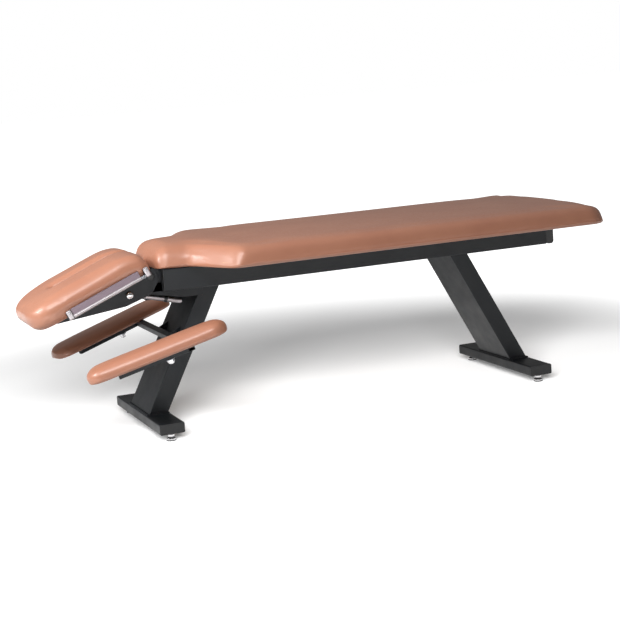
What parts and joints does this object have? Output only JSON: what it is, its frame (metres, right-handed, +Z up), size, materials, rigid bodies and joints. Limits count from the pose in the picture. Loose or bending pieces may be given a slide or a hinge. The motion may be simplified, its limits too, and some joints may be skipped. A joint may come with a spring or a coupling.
{
  "type": "chiropractic table",
  "caption": "Low bench-style treatment table: padded top on a black steel frame with slanted box legs, tilting slotted headpiece, swivelling armrests below it and levelling feet.",
  "frame": {"origin": "centre of the whole table's outline, on the floor under its levelling feet", "axes": "+X along the table from the head end to the foot end, +Y across it to a face-down patient's right side, +Z up"},
  "size_m": [1.7226, 0.6774, 0.531],
  "materials": {
    "powder_coat": "fine-texture satin charcoal black powder coat",
    "plastic": "moulded black plastic caps and tube plugs",
    "vinyl": "terracotta tan upholstery vinyl with a fine leather grain and a soft sheen",
    "plywood": "raw birch plywood",
    "chrome": "polished chrome plate",
    "brushed_steel": "brushed along its length",
    "zinc": "zinc plated fasteners and rods",
    "bronze": "sintered bronze bushes"
  },
  "bodies": {
    "frame": {"left_rail": "powder_coat", "right_rail": "powder_coat", "head_end_tube": "powder_coat", "foot_end_tube": "powder_coat", "frame_plugs": "plastic", "front_crossmember": "powder_coat", "rear_crossmember": "powder_coat", "front_leg": "powder_coat", "rear_leg": "powder_coat", "front_foot": "powder_coat", "rear_foot": "powder_coat", "foot_plugs": "plastic", "leveller_nuts": "zinc", "cushion_tabs": "powder_coat", "body_board": "plywood", "cushion_bolts": "zinc", "body_cushion": "vinyl", "left_cheek_plate": "powder_coat", "right_cheek_plate": "powder_coat", "pivot_bushes": "bronze", "arm_lugs": "powder_coat", "arm_strut": "powder_coat", "left_arm_bar": "powder_coat", "right_arm_bar": "powder_coat"},
    "headpiece": {"pivot_shaft": "zinc", "pivot_caps": "plastic", "left_side_plate": "powder_coat", "right_side_plate": "powder_coat", "head_strap_front": "powder_coat", "head_strap_rear": "powder_coat", "head_board": "plywood", "head_screws": "zinc", "head_cushion": "vinyl", "lock_bolt": "zinc", "lock_nuts": "chrome", "left_clamp_brackets": "brushed_steel", "right_clamp_brackets": "brushed_steel", "left_clamp_rod": "zinc", "right_clamp_rod": "zinc", "left_clamp_spring": "zinc", "right_clamp_spring": "zinc"},
    "tilt_lever_arm": {"tilt_lever": "chrome", "lever_grip": "brushed_steel"},
    "left_clamp": {"left_clamp_bar": "brushed_steel"},
    "right_clamp": {"right_clamp_bar": "brushed_steel"},
    "left_armrest": {"left_arm_board": "plywood", "left_arm_pad": "vinyl", "left_arm_bolt": "zinc", "left_arm_nut": "chrome"},
    "right_armrest": {"right_arm_board": "plywood", "right_arm_pad": "vinyl", "right_arm_bolt": "zinc", "right_arm_nut": "chrome"},
    "levelling_foot_front_left": {"leveller_front_left": "chrome"},
    "levelling_foot_front_right": {"leveller_front_right": "chrome"},
    "levelling_foot_rear_left": {"leveller_rear_left": "chrome"},
    "levelling_foot_rear_right": {"leveller_rear_right": "chrome"}
  },
  "joints": [
    {"name": "headpiece_tilt", "type": "hinge", "parent": "frame", "child": "headpiece", "pos_m": [-0.50957, 0, 0.451], "axis": [0, 1, 0], "range_deg": [-4.5, 22.5]},
    {"name": "tilt_lever_turn", "type": "hinge", "parent": "headpiece", "child": "tilt_lever_arm", "pos_m": [-0.57512, -0.1007, 0.40544], "axis": [0, 1, 0], "range_deg": [0, 35]},
    {"name": "left_clamp_open", "type": "hinge", "parent": "headpiece", "child": "left_clamp", "pos_m": [-0.63726, -0.153, 0.41434], "axis": [0.9239, 0, 0.3827], "range_deg": [0, 70], "stiffness_Nm_per_rad": 0.1, "springref_deg": -28.65},
    {"name": "right_clamp_open", "type": "hinge", "parent": "headpiece", "child": "right_clamp", "pos_m": [-0.63726, 0.153, 0.41434], "axis": [-0.9239, 0, -0.3827], "range_deg": [0, 70], "stiffness_Nm_per_rad": 0.1, "springref_deg": -28.65},
    {"name": "left_armrest_swing", "type": "hinge", "parent": "frame", "child": "left_armrest", "pos_m": [-0.51857, -0.262, 0.256], "axis": [-0.2823, 0, 0.9593], "range_deg": [-10, 35]},
    {"name": "right_armrest_swing", "type": "hinge", "parent": "frame", "child": "right_armrest", "pos_m": [-0.51857, 0.262, 0.256], "axis": [0.2823, 0, -0.9593], "range_deg": [-10, 35]},
    {"name": "levelling_front_left", "type": "slide", "parent": "frame", "child": "levelling_foot_front_left", "axis": [0, 0, -1], "range_m": [-0.0035, 0.01]},
    {"name": "levelling_front_right", "type": "slide", "parent": "frame", "child": "levelling_foot_front_right", "axis": [0, 0, -1], "range_m": [-0.0035, 0.01]},
    {"name": "levelling_rear_left", "type": "slide", "parent": "frame", "child": "levelling_foot_rear_left", "axis": [0, 0, -1], "range_m": [-0.0035, 0.01]},
    {"name": "levelling_rear_right", "type": "slide", "parent": "frame", "child": "levelling_foot_rear_right", "axis": [0, 0, -1], "range_m": [-0.0035, 0.01]}
  ]
}
